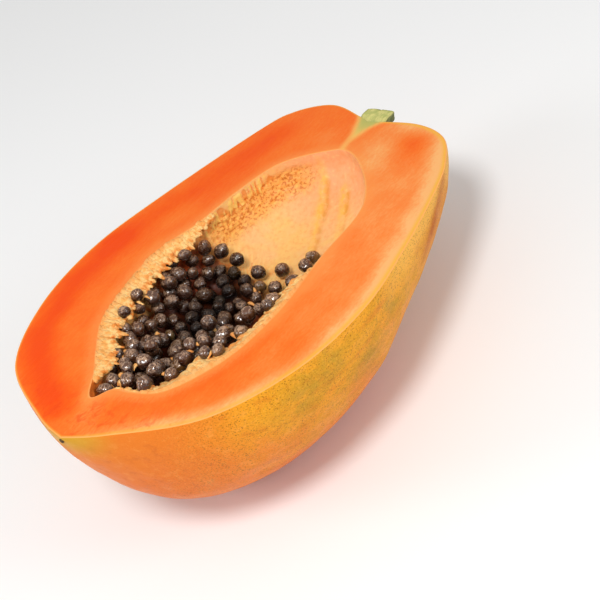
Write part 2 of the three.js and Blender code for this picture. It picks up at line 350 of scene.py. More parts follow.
# How pale the flesh is, from 0 to 1: deepest in a ribbon round the left shoulder and the tip,
# palest along the right shoulder and at the stalk's end.
meat_tone = 0.46 + 0.2 * smooth(12, -30, y) * smooth(40, 95, x)
meat_tone -= 0.45 * ribbon([(14, 14), (22, 29), (34, 45), (50, 58), (82, 67), (112, 67)], 8)
meat_tone -= 0.27 * ribbon([(112, 67), (135, 61), (155, 54), (180, 47), (203, 40)], 8)
meat_tone -= 0.14 * ribbon([(22, -12), (34, -31), (50, -42), (72, -47), (98, -48)], 6)
meat_tone += 0.2 * ribbon([(4, -14), (14, -34), (30, -52), (52, -66)], 6)
meat_tone += patches([
    (210, -34, 12, 10, -0.38), (84, -61, 15, 5, -0.12), (196, -19, 19, 12, 0.24),
    (206, 11, 8, 7, 0.18), (160, 42, 22, 6, -0.06), (132, 46, 20, 6, 0.06),
    (172, -50, 26, 9, 0.1), (17, 2, 12, 9, 0.2), (186, 28, 12, 7, 0.02), (23, -28, 12, 8, 0.08),
])
to_right_side = smooth(-6, -36, y)
band_strength = 0.27 + 0.13 * smooth(60, 120, x)
meat_tone += band_strength * smooth(10.5 + 4 * smooth(95, 150, x), 1.5, inward) * to_right_side
# On the skin: a brown rub along the right shoulder and a few green places near the right edge.
bruise = np.exp(-(((z + 14.4 - 0.4 * (x - 158)) / 3.4) ** 2)) * between(x, 146, 162, 188, 196)
bruise = bruise * (y < 0)
green_spots = sum(round_spot(*spot) for spot in (
    (77, -76, -9, 9), (98, -73, -22, 9), (60, -70, -15, 9), (118, -74, -12, 5),
    (112, 60, -40, 14), (160, -10, -52, 16),
))
# The green wedge under the stalk and the pale line of the core: (x, middle y, half width).
wedge_line = np.array([
    (194, -1.6, 0.3), (202, -0.3, 0.4), (208.5, -0.7, 1.6), (215, -0.6, 3.7), (219, -1.2, 5.7),
    (223, -1.8, 8.4), (232, -1.8, 9.0),
])
past_wedge = np.abs(y - np.interp(x, wedge_line[:, 0], wedge_line[:, 1])) - np.interp(
    x, wedge_line[:, 0], wedge_line[:, 2])
wedge = smooth(0.8, -1.2, past_wedge) * smooth(203, 208, x)
core_line = np.exp(-((past_wedge / 1.3) ** 2)) * smooth(194.5, 198, x)
red_spot = round_spot(114, 31, -14, 9)
numbers = dict(
    inward=inward, from_lip=from_lip, meat_tone=meat_tone, juice=juice, core_line=core_line,
    wedge=wedge, seeded=seeded, pitted=pit_row, fringe=fringe, shaded=shaded, rib=rib,
    rib_shade=rib_shade, ridges=ridges, wall_hollow_shade=wall_hollow_shade, red_spot=red_spot, bruise=bruise,
    green_spots=green_spots, grown=grid * 0.1)
give(half.data, **{name: values[ring_of, slot_of] for name, values in numbers.items()})


def colour(red, green, blue):
    """A colour as a screen shows it, 0 to 255, as the shader wants it."""
    return tuple(((c / 255 + 0.055) / 1.055) ** 2.4 if c > 10 else c / 3295 for c in (
        red, green, blue)) + (1.0,)


class Paint:
    """The nodes of one material, whose colours are laid one over another.

    Each call adds nodes and returns their output. Colours are given as a screen shows them. A
    share is an output, a number, the name of a number at the vertices, or the row that spread
    would be given."""

    def __init__(self, name, bleed=None, **shader_values):
        self.material = bpy.data.materials.new(name)
        self.material.use_nodes = True
        self.nodes = self.material.node_tree.nodes
        self.links = self.material.node_tree.links
        self.shader = self.nodes["Principled BSDF"]
        self.laid = None
        for socket, value in shader_values.items():
            self.shader.inputs[socket.replace("_", " ")].default_value = value
        if bleed:
            self.shader.inputs["Subsurface Radius"].default_value = bleed

    def add(self, kind, output, inputs, **settings):
        node = self.nodes.new(kind)
        for key, value in settings.items():
            setattr(node, key, value)
        for key, value in inputs.items():
            if isinstance(value, bpy.types.NodeSocket):
                self.links.new(value, node.inputs[key])
            else:
                node.inputs[key].default_value = value
        return node.outputs[output]

    def attribute(self, name, output="Fac"):
        return self.add("ShaderNodeAttribute", output, {}, attribute_name=name)

    def own_place(self):
        return self.add("ShaderNodeTexCoord", "Object", {})

    def along(self, axis, vector):
        return self.add("ShaderNodeSeparateXYZ", axis, {"Vector": vector})

    def stretched(self, place, scale):
        return self.add("ShaderNodeMapping", "Vector", {"Vector": place, "Scale": scale})

    def noise(self, place, size, detail=2.0, rough=0.5, warp=0.0, stretch=None):
        if stretch:
            place = self.stretched(place, stretch)
        return self.add("ShaderNodeTexNoise", "Fac", {
            "Vector": place, "Scale": 1 / size, "Detail": detail, "Roughness": rough,
            "Distortion": warp})

    def share(self, given):
        if isinstance(given, tuple):
            return self.spread(*given)
        return self.attribute(given) if isinstance(given, str) else given

    def spread(self, value, low, high, out_low=0.0, out_high=1.0):
        return self.add("ShaderNodeMapRange", "Result", {
            "Value": self.share(value), "From Min": low, "From Max": high, "To Min": out_low,
            "To Max": out_high}, interpolation_type="SMOOTHSTEP")

    def math(self, work, first, second):
        return self.add("ShaderNodeMath", 0, {0: self.share(first), 1: self.share(second)},
                        operation=work)

    def product(self, *parts):
        whole = parts[0]
        for part in parts[1:]:
            whole = self.math("MULTIPLY", whole, part)
        return whole

    def mix(self, share, first, second):
        first, second = (colour(*c) if isinstance(c, tuple) else c for c in (first, second))
        return self.add("ShaderNodeMix", 2, {0: self.share(share), 6: first, 7: second},
                        data_type="RGBA")

    def over(self, tint, *shares):
        """Lays a colour over those so far, as much as the product of the shares says."""
        self.laid = self.mix(self.product(*shares), self.laid, tint)

    def ramp(self, value, stops):
        """Colours that run into each other, each given as (where on 0 to 1, colour)."""
        node = self.nodes.new("ShaderNodeValToRGB")
        self.links.new(value, node.inputs["Fac"])
        while len(node.color_ramp.elements) < len(stops):
            node.color_ramp.elements.new(1.0)
        for element, (where, tint) in zip(node.color_ramp.elements, stops):
            element.position = where
            element.color = colour(*tint)
        return node.outputs["Color"]

    def bump(self, height, depth, strength=1.0, under=None):
        inputs = {"Height": height, "Distance": depth, "Strength": strength}
        if under is not None:
            inputs["Normal"] = under
        return self.add("ShaderNodeBump", "Normal", inputs)

    def wear(self, **sockets):
        """Joins the shader's sockets: the colour laid so far, and those named here."""
        self.links.new(self.laid, self.shader.inputs["Base Color"])
        for socket, value in sockets.items():
            self.links.new(self.share(value), self.shader.inputs[socket.replace("_", " ")])


# Skin: waxy, gold over orange, with a green bloom and fine brown pores that crowd on the flanks.
skin = Paint("papaya_skin", bleed=(0.004, 0.002, 0.001), Roughness=0.5, Subsurface_Weight=0.03,
             Specular_IOR_Level=0.1)
place = skin.attribute("grown", "Vector")
length_part = skin.along("X", place)
height_part = skin.along("Z", place)
middling = skin.noise(place, 0.8, 4.0, 0.65, stretch=(0.6, 1.0, 1.0))
grainy = skin.noise(place, 0.075, 2.0, 0.6)
low = skin.math("ADD", height_part, (skin.noise(place, 3.6, 3.0, 0.55), 0.25, 0.75, -1.4, 1.4))
skin.laid = skin.mix((low, -1.6, -4.8), (236, 160, 34), (236, 130, 40))
skin.over((222, 98, 22), (low, -4.4, -7.4))
skin.over((234, 118, 36), (length_part, 4.6, 1.6, 0.0, 0.85))
green_zone = skin.product((length_part, 3.4, 7.5), (low, -7.4, -3.8))
skin.over((204, 150, 26), green_zone, (middling, 0.36, 0.66), 0.4)
skin.over((156, 134, 36), (skin.noise(place, 1.4, 4.0, 0.75, 0.5), 0.52, 0.68), green_zone,
          (grainy, 0.4, 0.6, 0.5, 1.0), 0.42)
streaks = skin.noise(place, 0.45, 3.0, 0.6, stretch=(0.14, 1.0, 1.0))
skin.over((206, 92, 28), (streaks, 0.52, 0.72, 0.0, 0.35))
skin.over((250, 168, 84), (streaks, 0.46, 0.3, 0.0, 0.25))
# a yellow rim under the cut, the green places, a deeper gold by the stalk and its brown rub
skin.over((252, 194, 92), (height_part, -1.4, -0.2), (length_part, 10.5, 14.0, 0.0, 0.6))
skin.over((156, 136, 46), "green_spots", (middling, 0.3, 0.6, 0.25, 1.0), 0.55)
skin.over((214, 130, 8), (length_part, 14.0, 17.0), (height_part, -0.4, -1.0, 0.0, 0.75))
skin.over((182, 78, 0), "bruise", (middling, 0.3, 0.6, 0.55, 1.0), 0.8)
# pores of three sizes, in crowds
pore = 0.0
for pores_per_cm, start, end in ((6.4, 0.25, 0.1), (9.2, 0.3, 0.13), (12.5, 0.3, 0.12)):
    pores = skin.add("ShaderNodeTexVoronoi", "Distance", {
        "Vector": skin.stretched(place, (0.75, 1.0, 1.0)), "Scale": pores_per_cm})
    pore = skin.math("MAXIMUM", pore, (pores, start, end))
crowd = skin.spread(skin.noise(place, 0.9, 3.0, 0.6), 0.34, 0.56, 0.5, 1.0)
pore_zone = skin.product((length_part, 1.0, 3.2), (low, -8.6, -6.6, 0.4, 1.0))
pore = skin.product(pore, crowd, pore_zone)
skin.over((156, 88, 6), pore, (length_part, 8.0, 15.0, 0.76, 0.66))
grain_zone = skin.spread(pore_zone, 0.0, 0.8, 0.25, 1.0)
skin.over((190, 104, 30), grain_zone, (grainy, 0.5, 0.7, 0.0, 0.3))
skin.over((250, 184, 84), grain_zone, (grainy, 0.48, 0.3, 0.0, 0.25))
# greenish yellow round the blossom's scar
skin.over((206, 168, 44), (length_part, 1.0, 0.1), (height_part, -1.8, -0.2), 0.7)
skin.wear(Roughness=(middling, 0.3, 0.7, 0.38, 0.52),
          Normal=skin.bump(pore, 0.00015, 0.4, skin.bump(middling, 0.0006, 0.4)))

# Flesh: wet and finely fibrous, deep orange-red outwards and paler round the core's end, with a
# thin yellow layer under the skin and a pale line at the cavity's edge.
flesh = Paint("papaya_flesh", bleed=(0.006, 0.0025, 0.001), Roughness=0.42,
              Subsurface_Weight=0.06, Specular_IOR_Level=0.14)
place = flesh.attribute("grown", "Vector")
length_part = flesh.along("X", place)
fibre = flesh.noise(place, 0.35, 3.0, 0.6, 0.4, stretch=(0.35, 1.6, 1.0))
cloud = flesh.noise(place, 1.6, 3.0, 0.55)
fine = flesh.noise(place, 0.12, 2.0, 0.5, stretch=(0.6, 1.2, 1.0))
tone = flesh.attribute("meat_tone")
for grain, start, end, above, below in (
    (cloud, 0.3, 0.7, -0.06, 0.06), (fibre, 0.35, 0.68, 0.025, -0.035),
    (fine, 0.3, 0.7, -0.042, 0.042),
):
    tone = flesh.math("ADD", tone, (grain, start, end, above, below))
flesh.laid = flesh.ramp(tone, [
    (0.0, (244, 76, 2)), (0.25, (248, 96, 12)), (0.5, (250, 118, 36)),
    (0.7, (250, 138, 62)), (0.86, (250, 160, 88)), (1.0, (250, 182, 112)),
])
# red streaks that fan out from the tip
streak = flesh.noise(place, 0.5, 4.0, 0.66, 1.0, stretch=(0.7, 1.0, 1.0))
flesh.over((236, 66, 4), (streak, 0.47, 0.68), (length_part, 3.4, 1.4), 0.55)
rim_width = flesh.spread(flesh.along("Y", place), 1.0, -4.0, 1.4, 3.4)
rim_part = flesh.math("DIVIDE", "inward", rim_width)
flesh.over((246, 180, 62), (rim_part, 1.0, 0.25), (length_part, 1.0, 9.0, 0.5, 0.85))
lip_mm = flesh.attribute("from_lip")
near_lip = flesh.math("ADD", lip_mm, (fine, 0.3, 0.7, -1.4, 1.4))
flesh.over((252, 154, 76), (near_lip, 8.5, 0.4, 0.0, 0.6))
flesh.over((250, 178, 104), (lip_mm, 1.4, 0.2, 0.0, 0.6))
# the core's end: yellow, then green at the stalk, and a pale line round it
core_end = flesh.mix((length_part, 20.6, 22.0), (238, 192, 98), (188, 184, 100))
flesh.over(core_end, "wedge")
flesh.over((250, 186, 98), "core_line", 0.75)
flesh.wear(Roughness=(cloud, 0.3, 0.7, 0.36, 0.5),
           Normal=flesh.bump(fine, 0.0002, 0.35, flesh.bump(fibre, 0.0005, 0.3)))

# Lining: smooth peach where the seeds have come away, cream and frayed where they still sit,
# with brown-orange pits along the left edge.
lining = Paint("cavity_lining", bleed=(0.002, 0.0015, 0.001), Roughness=0.5,
               Subsurface_Weight=0.14, Specular_IOR_Level=0.3)
place = lining.attribute("grown", "Vector")
length_part = lining.along("X", place)
cloud = lining.noise(place, 1.5, 3.0, 0.6)
fine = lining.noise(place, 0.22, 3.0, 0.6)
lining.laid = lining.mix((cloud, 0.4, 0.64), (254, 196, 130), (254, 200, 118))
lining.over((250, 172, 124), (length_part, 16.6, 19.0, 0.0, 0.8))
rib_grain = lining.noise(place, 0.35, 3.0, 0.6)
lining.over((254, 196, 84), ("rib", 0.1, 1.0), (rib_grain, 0.36, 0.6, 0.35, 1.0), 0.85)
lining.over((228, 148, 52), "rib_shade", (rib_grain, 0.36, 0.6, 0.3, 0.8))
lining.over((246, 150, 72), (fine, 0.48, 0.7, 0.0, 0.35))
lining.over((255, 212, 142), (fine, 0.46, 0.3, 0.0, 0.4))
# the cream shelf and wall where the seeds sit
torn = lining.noise(place, 0.3, 4.0, 0.65, 0.8, stretch=(0.8, 1.0, 1.0))
cream = lining.mix(("fringe", -0.6, 0.5), (250, 180, 92), (255, 214, 134))
cream = lining.mix((torn, 0.5, 0.66, 0.0, 0.85), cream, (234, 138, 56))
cream = lining.mix((torn, 0.42, 0.3, 0.0, 0.6), cream, (254, 222, 150))
lining.over(cream, "seeded")
# the pits and the pale ridges over them
pitted = lining.attribute("pitted")
pits = lining.noise(place, 0.12, 2.0, 0.5, 0.5, stretch=(0.7, 1.0, 1.0))
lining.over((246, 168, 74), pitted, 0.8)
lining.over((210, 114, 36), pitted, (pits, 0.52, 0.6), 0.8)
lining.over((255, 206, 104), pitted, (pits, 0.46, 0.34), 0.5)
ridges_up = lining.attribute("ridges")
lining.over((255, 206, 112), (ridges_up, 0.02, 0.2))
lining.over((238, 140, 56), (ridges_up, -0.04, -0.22, 0.0, 0.7))
# juice, painted shade under the heap, and darker painted shade in its hollow middle
lining.over((206, 92, 22), "juice", (torn, 0.36, 0.56, 0.45, 1.0))
lining.over((112, 46, 14), "shaded")
lining.over((34, 13, 6), "wall_hollow_shade", 0.85)
lining.over((224, 96, 36), "red_spot", 0.9)
lining.over((250, 132, 48), (length_part, 4.3, 3.2))
lining.wear(Roughness=(cloud, 0.3, 0.7, 0.42, 0.58),
            Normal=lining.bump(fine, 0.0004, 0.4, lining.bump(cloud, 0.001, 0.25)))

for paint in (skin, flesh, lining):
    half.data.materials.append(paint.material)
lowest_ring = np.array([ring_of[list(face.vertices)].min() for face in half.data.polygons])
which = np.where(lowest_ring < wall_rings + shelf_rings + 1, 2,
                 np.where(lowest_ring < first_skin - 1, 1, 0))
half.data.polygons.foreach_set("material_index", which)
half.data.polygons.foreach_set("use_smooth", np.ones(len(half.data.polygons), bool))
half.data.update()
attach(half, "root")
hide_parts("papaya_half")


# ---------------------------------------------------------------- the seeds on top
# Each seed is dark and wrinkled inside a clear, wet coat. The topmost ones and those that lie
# apart are pieces of their own, each where its solid is.
seed_long, seed_wide = 7.5, 6.5

wet_seed = Paint("wet_seed", Roughness=0.4, Coat_Roughness=0.1, Coat_IOR=1.6,
                 Specular_IOR_Level=0.3)
own, sunk = wet_seed.attribute("own"), wet_seed.attribute("sunk")
wet_seed.laid = wet_seed.ramp(own, [
    (0.0, (46, 22, 11)), (0.35, (76, 38, 18)), (0.62, (58, 30, 20)),
    (0.8, (98, 54, 22)), (0.92, (106, 78, 30)), (1.0, (80, 46, 20)),
])
folds = wet_seed.noise(wet_seed.own_place(), 0.0026, 1.5, 0.45, 1.2)
off_fold = wet_seed.math("ABSOLUTE", wet_seed.math("SUBTRACT", folds, 0.5), 0.0)
ridge = wet_seed.spread(off_fold, 0.1, 0.0)
facing_up = wet_seed.along("Z", wet_seed.add("ShaderNodeNewGeometry", "Normal", {}))
# Painted light on each seed: painted shade on its underside, a painted lighter tone on its top and a
# painted sheen along the fold ridges that face up.
wet_seed.over((22, 13, 6), (facing_up, 0.5, -0.3, 0.0, 0.6))
wet_seed.over((150, 104, 70), (facing_up, 0.3, 1.0, 0.0, 0.26))
wet_seed.over((214, 172, 138), ridge, (facing_up, 0.35, 0.9, 0.0, 0.74))
wet_seed.over((104, 70, 50), ("crumple", 0.1, 0.7, 0.0, 0.2))
# painted shade where seeds touch
wet_seed.over((38, 18, 9), "pressed", 0.85)
# painted shade darkens the seeds in the heap's hollow middle, and their coat is made less glossy there
wet_seed.over((9, 5, 4), sunk, 0.9)
wet_seed.wear(Roughness=(folds, 0.35, 0.7, 0.22, 0.5), Coat_Weight=(sunk, 0.0, 1.0, 1.0, 0.15),
              Normal=wet_seed.bump(ridge, 0.0004, 0.8),
              Coat_Normal=wet_seed.bump(folds, 0.0008, 0.55))


def round_ball(around_it, down_it):
    """Points and faces of a ball 1 across."""
    ball = bmesh.new()
    bmesh.ops.create_uvsphere(ball, u_segments=around_it, v_segments=down_it, radius=0.5)
    points = np.array([v.co for v in ball.verts])
    faces = [[v.index for v in f.verts] for f in ball.faces]
    ball.free()
    return points, faces


seed_ball, seed_faces = round_ball(24, 15)


def seed_shape(middle, axis, own_number, size):
    """Points and wrinkle height of one seed, its place in metres."""
    shift = np.array([own_number * 37.0, own_number * 11.0, 0.0])
    wrinkle = np.array([
        0.5 - abs(noise.noise(Vector(p * 5.2 + shift))) * 2.4
        + 0.25 * noise.noise(Vector(p * 11 + shift)) for p in seed_ball])
    swell = np.array([noise.noise(Vector(p * 2.1 + shift + 5)) for p in seed_ball])
    points = seed_ball * (1 + 0.05 * wrinkle + 0.13 * swell)[:, None]
    points[:, :2] *= (1 - 0.5 * np.clip(points[:, 2] - 0.2, 0, None))[:, None]
    points = points * np.array([seed_wide, seed_wide, seed_long]) * size
    turned = Vector((0, 0, 1)).rotation_difference(Vector(axis)).to_matrix()
    spin = Matrix.Rotation(own_number * 6.28, 3, "Z")
    points = points @ np.array(turned @ spin).T
    return points * 0.001 + np.array(middle), wrinkle


# Where the eye is, in the fruit's own frame, and which way its right and up are.
eye = np.array([-257.9, -438.6, 366.6])
eye_right = np.array([0.5605, -0.7778, -0.2843])
eye_up = np.array([0.6157, 0.1618, 0.7712])
lens, sensor, picture = 96.3, 36.0, 600


def seen_at(point):
    """Where in the picture a point is seen."""
    out = point - eye
    away = out @ np.cross(eye_up, eye_right)
    zoom = lens / sensor * picture / away
    return picture / 2 + out @ eye_right * zoom, picture / 2 - out @ eye_up * zoom


hollow_start, hollow_end, hollow_width = np.array((234.0, 280.0)), np.array((194.0, 328.0)), 21.0


def hollow(point):
    """How far a seed at this point is down in the middle of the heap, where seeds get painted shade, from
    0 to 1.
    """
    gap = gap_to(np.array(seen_at(point)), hollow_start, hollow_end) / hollow_width
    return float(math.exp(-gap**2) * smooth(-5, -11, point[2]))


def make_piece(name, verts, faces, paint, **numbers):
    """A smooth piece of one material, in metres, with these numbers at its vertices."""
    mesh = bpy.data.meshes.new(name)
    mesh.from_pydata(verts, [], faces)
    mesh.polygons.foreach_set("use_smooth", np.ones(len(faces), bool))
    give(mesh, **numbers)
    mesh.materials.append(paint.material)
    piece = bpy.data.objects.new(name, mesh)
    bpy.context.collection.objects.link(piece)
    return piece


neighbour = 0.0095            # how near seeds' middles are, in metres, that can touch
touching = (4.9, 3.6)         # from and to how near another's middle, in mm, painted shade darkens a seed where seeds touch


def seed_piece(name, seeds):
    """One object that holds all of these seeds."""
    verts, faces, own_numbers, wrinkles, hollow_shades, pressed = [], [], [], [], [], []
    middles = np.concatenate([top_middles, [seed[0] for seed in seeds]])
    for middle, axis, own_number, size in seeds:
        points, wrinkle = seed_shape(middle, axis, own_number, size)
        faces += [[c + len(verts) for c in f] for f in seed_faces]
        verts += points.tolist()
        own_numbers += [own_number] * len(points)
        wrinkles += wrinkle.tolist()
        # how much painted shade this seed gets in the heap's hollow middle
        hollow_shades += [hollow(from_row(np.array(middle)))] * len(points)
        # painted shade on this seed where it comes near its neighbours
        apart = np.linalg.norm(middles - middle, axis=1)
        reach = np.full(len(points), 9.0)
        for other in middles[(apart > 1e-5) & (apart < neighbour)]:
            reach = np.minimum(reach, np.linalg.norm(points - other, axis=1) * 1000)
        pressed += smooth(*touching, reach).tolist()
    piece = make_piece(name, verts, faces, wet_seed, own=own_numbers, crumple=wrinkles,
                       sunk=hollow_shades, pressed=pressed)
    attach(piece, "root")
    return piece


draw = random.Random(7)
top_names = sorted(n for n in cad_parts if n.startswith("seed_"))
top_solids = [np.array([v.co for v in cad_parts[n].data.vertices]) for n in top_names]
top_middles = np.array([solid.mean(axis=0) for solid in top_solids])
for name, solid, middle in zip(top_names, top_solids, top_middles):
    axis = np.linalg.svd(solid - middle, full_matrices=False)[2][0]
    piece = seed_piece(name.replace("seed", "papaya_seed"),
                       [(middle, axis, draw.random(), draw.uniform(0.96, 1.06))])
    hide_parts(name)


# ---------------------------------------------------------------- the seeds below
# The rest of the heap: seeds crowded between the top ones and the wall, which are joined into one
# piece as they are pressed together. They line the wall and leave the heap's middle empty.
def from_middle(points):
    """How far out from the cavity's middle points are, and in which direction."""
    dx, dy = points[..., 0] - cavity_middle[0], points[..., 1] - cavity_middle[1]
    return np.hypot(dx, dy), np.arctan2(dy, dx)


def wall_gap(points):
    """About how far points in the cavity are from its wall, in mm."""
    def level(p):
        out, angle = from_middle(p)
        side = out / (cavity_radius(angle) - shelf_at(angle))
        down = np.minimum(p[..., 2] + shelf_depth, 0) / (cavity_depth - shelf_depth)
        return 1 - np.hypot(side, down)
    here, nudge = level(points), 0.5
    slope = np.sqrt(sum((level(points + way * nudge) - here) ** 2 for way in np.eye(3))) / nudge
    return here / slope


def heap_depth(points):
    """How deep the heap lies on the wall: one seed at its front, more at the tip and the right."""
    round_core = np.arctan2(-points[..., 2], points[..., 1])
    front = 117 + 10 * np.cos(round_core) + 14 * np.sin(2 * round_core)
    crowded = np.maximum(smooth(12, -18, points[..., 1]), smooth(70, 45, points[..., 0]))
    one_seed, depth = 5.2, 9 + 10 * crowded
    return one_seed + (depth - one_seed) * smooth(front, front - 35, points[..., 0])


# The heap's outermost seeds, by where they are seen in a picture of 600 by 600.
seen_seeds = [
    (207, 248), (199, 252), (184.5, 255), (179, 267), (170, 271.5), (237, 261), (212, 264),
    (255, 272), (203, 275), (220, 275), (234, 273), (161.5, 286), (181, 280), (193.5, 285),
    (247, 281), (236, 287), (260, 287), (177, 292.5), (137, 295), (193.5, 299), (204, 296),
    (245, 295), (256.5, 299), (229, 299), (267, 305), (124, 312), (139, 308), (160, 307),
    (179, 309), (148, 314), (218, 308), (228.5, 307), (242.5, 307), (255, 312), (124, 320),
    (167, 320.5), (208, 315.5), (234, 319), (223, 322), (244, 324), (151, 326), (190, 312),
    (179, 333), (207, 331), (137, 335), (122, 336), (121, 344), (160, 341), (151, 346),
    (164, 345), (177.5, 347), (190, 345), (203, 343.5), (220, 342), (205, 353), (218, 350.5),
    (191, 351), (133.5, 354), (117.5, 356), (149, 359), (168, 359), (182.5, 359), (111, 369),
    (128, 368), (143, 368), (153, 373), (173, 368.5), (144, 384), (108.5, 382),
]

# Nothing of the heap is seen outside this line, so the pale shelf beside it stays bare.
heap_outline = [
    (214, 243), (202, 242), (190, 247), (178, 250), (172, 260), (163, 268), (156, 278), (148, 288),
    (128, 291), (114, 308), (114, 318), (116, 334), (112, 350), (102, 364), (100, 380), (96, 392),
    (112, 387), (124, 380), (138, 390), (146, 389), (160, 379), (178, 370), (192, 362), (206, 361),
    (219, 357), (228, 349), (228, 336), (240, 326), (252, 327), (262, 315), (274, 311), (276, 300),
    (268, 286), (262, 276), (261, 266), (247, 267), (244, 258), (237, 252), (226, 254),
]
heap_edge = 6.0                                  # how near a seed's middle may come to it


def inside_outline(px, py):
    """Whether this place of the picture is within the outline, and clear of its edge."""
    line = np.array(heap_outline, float)
    after = np.roll(line, -1, axis=0)
    along = after - line
    crossed = (line[:, 1] > py) != (after[:, 1] > py)
    where = line[:, 0] + along[:, 0] * (py - line[:, 1]) / np.where(crossed, along[:, 1], 1)
    within = (crossed & (px < where)).sum() % 2 == 1
    return within and gap_to(np.array([px, py]), line, after).min() > heap_edge


def unit(vector):
    """The vector, made 1 long."""
    return vector / np.linalg.norm(vector)


def down_the_ray(px, py):
    """Points every 0.4 mm of the way through the fruit, behind this place in the picture."""
    steps = np.arange(500, 760, 0.4)
    scale = sensor / lens / picture
    way = (np.cross(eye_up, eye_right) + (px - picture / 2) * scale * eye_right
           - (py - picture / 2) * scale * eye_up)
    return eye + steps[:, None] * unit(way)


def heap_level(points):
    """Above 0 inside the heap: near the wall, and deeper down the further in."""
    high = -4.2 - 2.0 * smooth(5, 30, points[..., 1])
    return np.minimum(heap_depth(points) - wall_gap(points), high - points[..., 2])


def lining_height(points):
    """How high the lining is under, or over, these points, in mm."""
    out, angle = from_middle(points)
    lip_here, shelf_here = cavity_radius(angle), np.maximum(shelf_at(angle), 0.2)
    on_shelf = -shelf_depth * np.clip((lip_here - out) / shelf_here, 0, 1)
    side = np.clip(out / (lip_here - shelf_here), 0, 1)
    return on_shelf - (cavity_depth - shelf_depth) * np.sqrt(1 - side**2)


def fringe_length(lip_x, on_left):
    """How far the torn fringe reaches in from the cavity's edge, on its left or right."""
    left_long = 7.8 * between(lip_x, 28, 44, 114, 134) + 3.4 * between(lip_x, 112, 122, 134, 146)
    right_long = (8.5 + 6.5 * smooth(66, 52, lip_x)) * between(lip_x, 29, 36, 108, 122)
    return left_long * on_left + right_long * (1 - on_left)


def fringe_hang(inwards):
    """The height of the fringe that far in from the cavity's edge."""
    return -0.55 - 0.27 * inwards - 0.012 * inwards**2


def bed_height(points):
    """How high the lining or the fringe is, whichever is on top."""
    out, angle = from_middle(points)
    lip_here = cavity_radius(angle)
    inwards = lip_here - out
    lip_x = cavity_middle[0] + lip_here * np.cos(angle)
    covered = inwards < fringe_length(lip_x, smooth(-0.05, 0.1, np.sin(angle)))
    return np.where(covered, np.maximum(fringe_hang(inwards) + 0.5, lining_height(points)),
                    lining_height(points))


half_seed = 2.6                   # how far a seed's middle keeps from what it lies on, in mm
seed_apart, seen_apart = 5.8, 5.6
taken, below = from_row(top_middles), []


def room_for(point, from_below):
    """Whether a seed at this point keeps clear of those on top and of those below so far."""
    near_top = np.linalg.norm(taken - point, axis=1).min()
    near_below = min((np.linalg.norm(b - point) for b in below), default=99)
    return near_top > seed_apart and near_below > from_below


for px, py in seen_seeds:
    ray_points = down_the_ray(px, py)
    height = ray_points[:, 2]
    in_heap = (height < -3.6) & (heap_level(ray_points) > 0) & (wall_gap(ray_points) > half_seed)
    perched = (height < 0.8) & (height < bed_height(ray_points) + half_seed)
    fits = perched | in_heap
    point = ray_points[np.argmax(fits)]
    if fits.any() and room_for(point, seen_apart):
        below.append(point)
seen_count = len(below)


def out_of_sight(point):
    """Whether the flesh, the lining or the fringe hides all of a seed at this point."""
    for shift in (eye_up * 3.4, eye_right * 3.2, -eye_right * 3.2):
        spot = point + shift
        start = eye + (spot - eye) * (eye[2] / (eye[2] - spot[2]))
        way = start + (spot - start) * np.linspace(0, 0.85, 24)[:, None]
        out, angle = from_middle(way)
        in_flesh = out > cavity_radius(angle) + 0.5
        if not (in_flesh | (way[:, 2] < bed_height(way) - 0.8)).any():
            return False
    return True


most_below = 240
picker = np.random.default_rng(11)
tries = picker.uniform((34, -38, -34), (132, 38, -5.5), (90000, 3))
tries = tries[(heap_level(tries) > 0.5) & (wall_gap(tries) > 2.8)]
for point in tries:
    if room_for(point, seed_apart) and (inside_outline(*seen_at(point)) or out_of_sight(point)):
        below.append(point)
    if len(below) == most_below:
        break
seeds = []
for point in below:
    axis = unit(picker.normal(size=3))
    seeds.append((to_row(point), axis, draw.random(), draw.uniform(0.82, 0.94)))
heap = seed_piece("papaya_seed_heap", seeds)
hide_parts("inner_seeds")


# ---------------------------------------------------------------- the fringe
# Torn shreds of the pale lining that held the seeds. They hang inwards from the cavity's edge all
# round the heap, broadest on the right beside the tip, each with a broader one under it, and wisps
# of the same pulp cling between the seeds.
shred = Paint("seed_fringe", bleed=(0.0012, 0.0009, 0.0006), Roughness=0.5,
              Subsurface_Weight=0.1, Specular_IOR_Level=0.3)
place = shred.own_place()
end_part = shred.attribute("end_part")
mottle = shred.noise(place, 0.003, 3.0, 0.6)
shred.laid = shred.mix((mottle, 0.38, 0.62), (252, 178, 94), (255, 210, 136))
shred.over((240, 148, 66), (shred.noise(place, 0.0011, 3.0, 0.6), 0.5, 0.66, 0.0, 0.5))
shred.over((252, 162, 84), (end_part, 0.0, 0.4, 0.85, 0.0))
shred.over((232, 134, 48), (end_part, 0.5, 1.0), (mottle, 0.55, 0.4))
shred.wear(Normal=shred.bump(shred.noise(place, 0.0011, 4.0, 0.65), 0.0006, 0.6))

shred_sides, shred_steps = 8, 9
shred_apart, shortest_shred, rooted = 1.0, 1.6, 0.9          # in mm
picker = np.random.default_rng(23)
bearings = np.linspace(-math.pi, math.pi, 4000)
lip_line = np.stack([np.cos(bearings), np.sin(bearings)], -1) * cavity_radius(bearings)[:, None]
lip_line += np.array(cavity_middle)
lip_run = run_along(lip_line)
verts, faces, end_parts = [], [], []


def face_outwards(mesh):
    """Turns all faces of a mesh outwards."""
    body = bmesh.new()
    body.from_mesh(mesh)
    bmesh.ops.recalc_face_normals(body, faces=body.faces)
    body.to_mesh(mesh)
    body.free()


